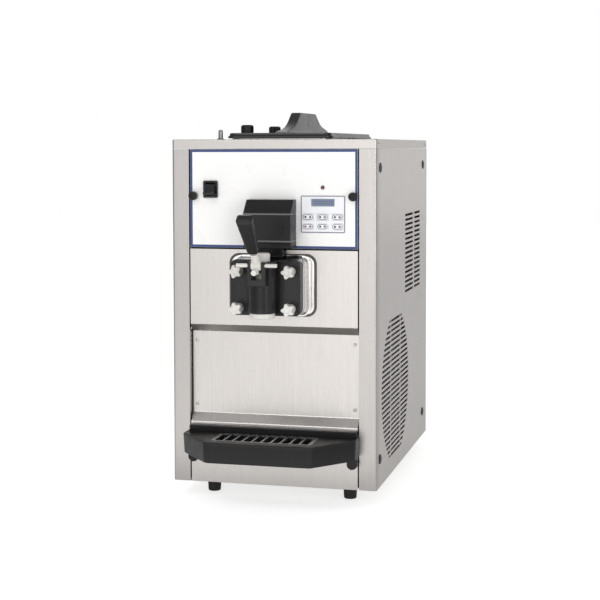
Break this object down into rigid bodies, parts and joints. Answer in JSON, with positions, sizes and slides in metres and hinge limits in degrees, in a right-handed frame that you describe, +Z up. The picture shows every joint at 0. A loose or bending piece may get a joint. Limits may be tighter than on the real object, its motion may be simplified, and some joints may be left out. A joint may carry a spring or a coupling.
{
  "type": "soft serve machine",
  "caption": "Countertop soft serve machine in a stainless cabinet, with draw handle, dispensing head, drip tray, keypad, hopper and lid.",
  "frame": {"origin": "on the floor, under the centre of the machine's bounding box, which runs from the tip of the raised handle to the rear panel", "axes": "+X to the viewer's right, +Z up, and the machine's front faces -Y"},
  "size_m": [0.38, 0.7485, 0.7075],
  "materials": {
    "stainless": "brushed sheet, satin",
    "polished_steel": "polished",
    "white_panel": "smooth white with a blue border line",
    "black_plastic": "moulded, light grain",
    "white_plastic": "moulded acetal, satin",
    "keypad": "membrane, pale blue",
    "display": "clear window over a grey-blue display",
    "red_lens": "clear dark red",
    "rubber": "matt",
    "aluminium": "as cast or pressed",
    "painted_steel": "black paint, satin",
    "silicone": "matt"
  },
  "bodies": {
    "cabinet": {"base_pan": "stainless", "foot_front_left": "rubber", "foot_front_right": "rubber", "foot_rear_left": "rubber", "foot_rear_right": "rubber", "front_left_post": "stainless", "front_right_post": "stainless", "left_side_panel": "stainless", "right_side_panel": "stainless", "rear_panel": "stainless", "power_inlet": "black_plastic", "top_deck": "stainless", "control_panel": "white_panel", "switch_bezel": "black_plastic", "indicator_lens": "red_lens", "keypad_plate": "keypad", "lcd_window": "display", "middle_front_panel": "stainless", "splash_panel": "stainless", "lower_front_panel": "stainless", "handle_housing": "black_plastic", "freezer_flange": "polished_steel", "freezing_cylinder": "polished_steel", "hopper": "stainless", "feed_tube": "polished_steel", "gearbox": "aluminium", "drive_belt": "rubber", "beater_motor": "painted_steel", "compressor": "painted_steel", "condenser": "aluminium", "fan_shroud": "painted_steel"},
    "door": {"dispensing_door": "black_plastic", "door_gasket": "silicone", "pivot_pin": "white_plastic"},
    "handle": {"draw_handle": "black_plastic", "lever_fork": "white_plastic"},
    "valve": {"draw_valve": "white_plastic"},
    "nozzle": {"nozzle_cap": "white_plastic"},
    "beater": {"beater": "white_plastic"},
    "drive_pulley": {"drive_pulley": "aluminium"},
    "motor_pulley": {"motor_pulley": "aluminium"},
    "fan": {"condenser_fan": "aluminium"},
    "lid": {"hopper_lid": "black_plastic"},
    "tray": {"drip_tray": "black_plastic"},
    "grid": {"drip_grid": "polished_steel"},
    "switch": {"switch_rocker": "black_plastic"},
    "key_1": {"key_1": "keypad"},
    "key_2": {"key_2": "keypad"},
    "key_3": {"key_3": "keypad"},
    "key_4": {"key_4": "keypad"},
    "key_5": {"key_5": "keypad"},
    "key_6": {"key_6": "keypad"},
    "door_knob_upper_left": {"door_knob_upper_left": "white_plastic"},
    "door_knob_upper_right": {"door_knob_upper_right": "white_plastic"},
    "door_knob_lower_left": {"door_knob_lower_left": "white_plastic"},
    "door_knob_lower_right": {"door_knob_lower_right": "white_plastic"},
    "lid_knob_front": {"lid_knob_front": "black_plastic"},
    "lid_knob_rear": {"lid_knob_rear": "black_plastic"},
    "panel_knob_left": {"panel_knob_left": "black_plastic"},
    "panel_knob_right": {"panel_knob_right": "black_plastic"}
  },
  "joints": [
    {"name": "lid_lift", "type": "slide", "parent": "cabinet", "child": "lid", "axis": [0, 0, 1], "range_m": [0, 0.12]},
    {"name": "lid_knob_front_turn", "type": "hinge", "parent": "lid", "child": "lid_knob_front", "pos_m": [-0.0845, -0.05575, 0.676], "axis": [0, 0, 1], "range_deg": [0, 90]},
    {"name": "lid_knob_rear_turn", "type": "hinge", "parent": "lid", "child": "lid_knob_rear", "pos_m": [-0.0845, 0.14425, 0.676], "axis": [0, 0, 1], "range_deg": [0, 90]},
    {"name": "panel_knob_left_turn", "type": "hinge", "parent": "cabinet", "child": "panel_knob_left", "pos_m": [-0.148, -0.19175, 0.554], "axis": [0, 1, 0], "continuous": true},
    {"name": "panel_knob_right_turn", "type": "hinge", "parent": "cabinet", "child": "panel_knob_right", "pos_m": [0.148, -0.19175, 0.554], "axis": [0, 1, 0], "continuous": true},
    {"name": "door_slide", "type": "slide", "parent": "cabinet", "child": "door", "axis": [0, -1, 0], "range_m": [0, 0.06]},
    {"name": "door_knob_upper_left_turn", "type": "hinge", "parent": "door", "child": "door_knob_upper_left", "pos_m": [-0.0475, -0.25525, 0.424], "axis": [0, 1, 0], "continuous": true},
    {"name": "door_knob_upper_right_turn", "type": "hinge", "parent": "door", "child": "door_knob_upper_right", "pos_m": [0.0475, -0.25525, 0.424], "axis": [0, 1, 0], "continuous": true},
    {"name": "door_knob_lower_left_turn", "type": "hinge", "parent": "door", "child": "door_knob_lower_left", "pos_m": [-0.0475, -0.25525, 0.358], "axis": [0, 1, 0], "continuous": true},
    {"name": "door_knob_lower_right_turn", "type": "hinge", "parent": "door", "child": "door_knob_lower_right", "pos_m": [0.0475, -0.25525, 0.358], "axis": [0, 1, 0], "continuous": true},
    {"name": "handle_pull", "type": "hinge", "parent": "door", "child": "handle", "pos_m": [0, -0.29375, 0.438], "axis": [1, 0, 0], "range_deg": [0, 32]},
    {"name": "valve_lift", "type": "slide", "parent": "door", "child": "valve", "axis": [0, 0, 1], "range_m": [0, 0.0195]},
    {"name": "nozzle_pull", "type": "slide", "parent": "door", "child": "nozzle", "axis": [0, 0, -1], "range_m": [0, 0.025]},
    {"name": "beater_spin", "type": "hinge", "parent": "cabinet", "child": "beater", "pos_m": [0, -0.08575, 0.394], "axis": [0, 1, 0], "continuous": true},
    {"name": "drive_pulley_spin", "type": "hinge", "parent": "cabinet", "child": "drive_pulley", "pos_m": [0, 0.17525, 0.394], "axis": [0, 1, 0], "continuous": true},
    {"name": "motor_pulley_spin", "type": "hinge", "parent": "cabinet", "child": "motor_pulley", "pos_m": [0, 0.17525, 0.229], "axis": [0, 1, 0], "continuous": true},
    {"name": "fan_spin", "type": "hinge", "parent": "cabinet", "child": "fan", "pos_m": [0.132, 0.00485, 0.1907], "axis": [1, 0, 0], "continuous": true},
    {"name": "tray_pull", "type": "slide", "parent": "cabinet", "child": "tray", "axis": [0, -1, 0], "range_m": [0, 0.06]},
    {"name": "grid_lift", "type": "slide", "parent": "tray", "child": "grid", "axis": [0, 0, 1], "range_m": [0, 0.04]},
    {"name": "switch_toggle", "type": "hinge", "parent": "cabinet", "child": "switch", "pos_m": [-0.116, -0.18275, 0.566], "axis": [1, 0, 0], "range_deg": [-16, 0]},
    {"name": "key_1_press", "type": "slide", "parent": "cabinet", "child": "key_1", "axis": [0, 1, 0], "range_m": [0, 0.0008], "stiffness_N_per_m": 600},
    {"name": "key_2_press", "type": "slide", "parent": "cabinet", "child": "key_2", "axis": [0, 1, 0], "range_m": [0, 0.0008], "stiffness_N_per_m": 600},
    {"name": "key_3_press", "type": "slide", "parent": "cabinet", "child": "key_3", "axis": [0, 1, 0], "range_m": [0, 0.0008], "stiffness_N_per_m": 600},
    {"name": "key_4_press", "type": "slide", "parent": "cabinet", "child": "key_4", "axis": [0, 1, 0], "range_m": [0, 0.0008], "stiffness_N_per_m": 600},
    {"name": "key_5_press", "type": "slide", "parent": "cabinet", "child": "key_5", "axis": [0, 1, 0], "range_m": [0, 0.0008], "stiffness_N_per_m": 600},
    {"name": "key_6_press", "type": "slide", "parent": "cabinet", "child": "key_6", "axis": [0, 1, 0], "range_m": [0, 0.0008], "stiffness_N_per_m": 600}
  ],
  "couplings": [
    {"joint": "valve_lift", "follows": "handle_pull", "m_per_rad": 0.034},
    {"joint": "drive_pulley_spin", "follows": "beater_spin", "ratio": 4},
    {"joint": "motor_pulley_spin", "follows": "beater_spin", "ratio": 8}
  ]
}
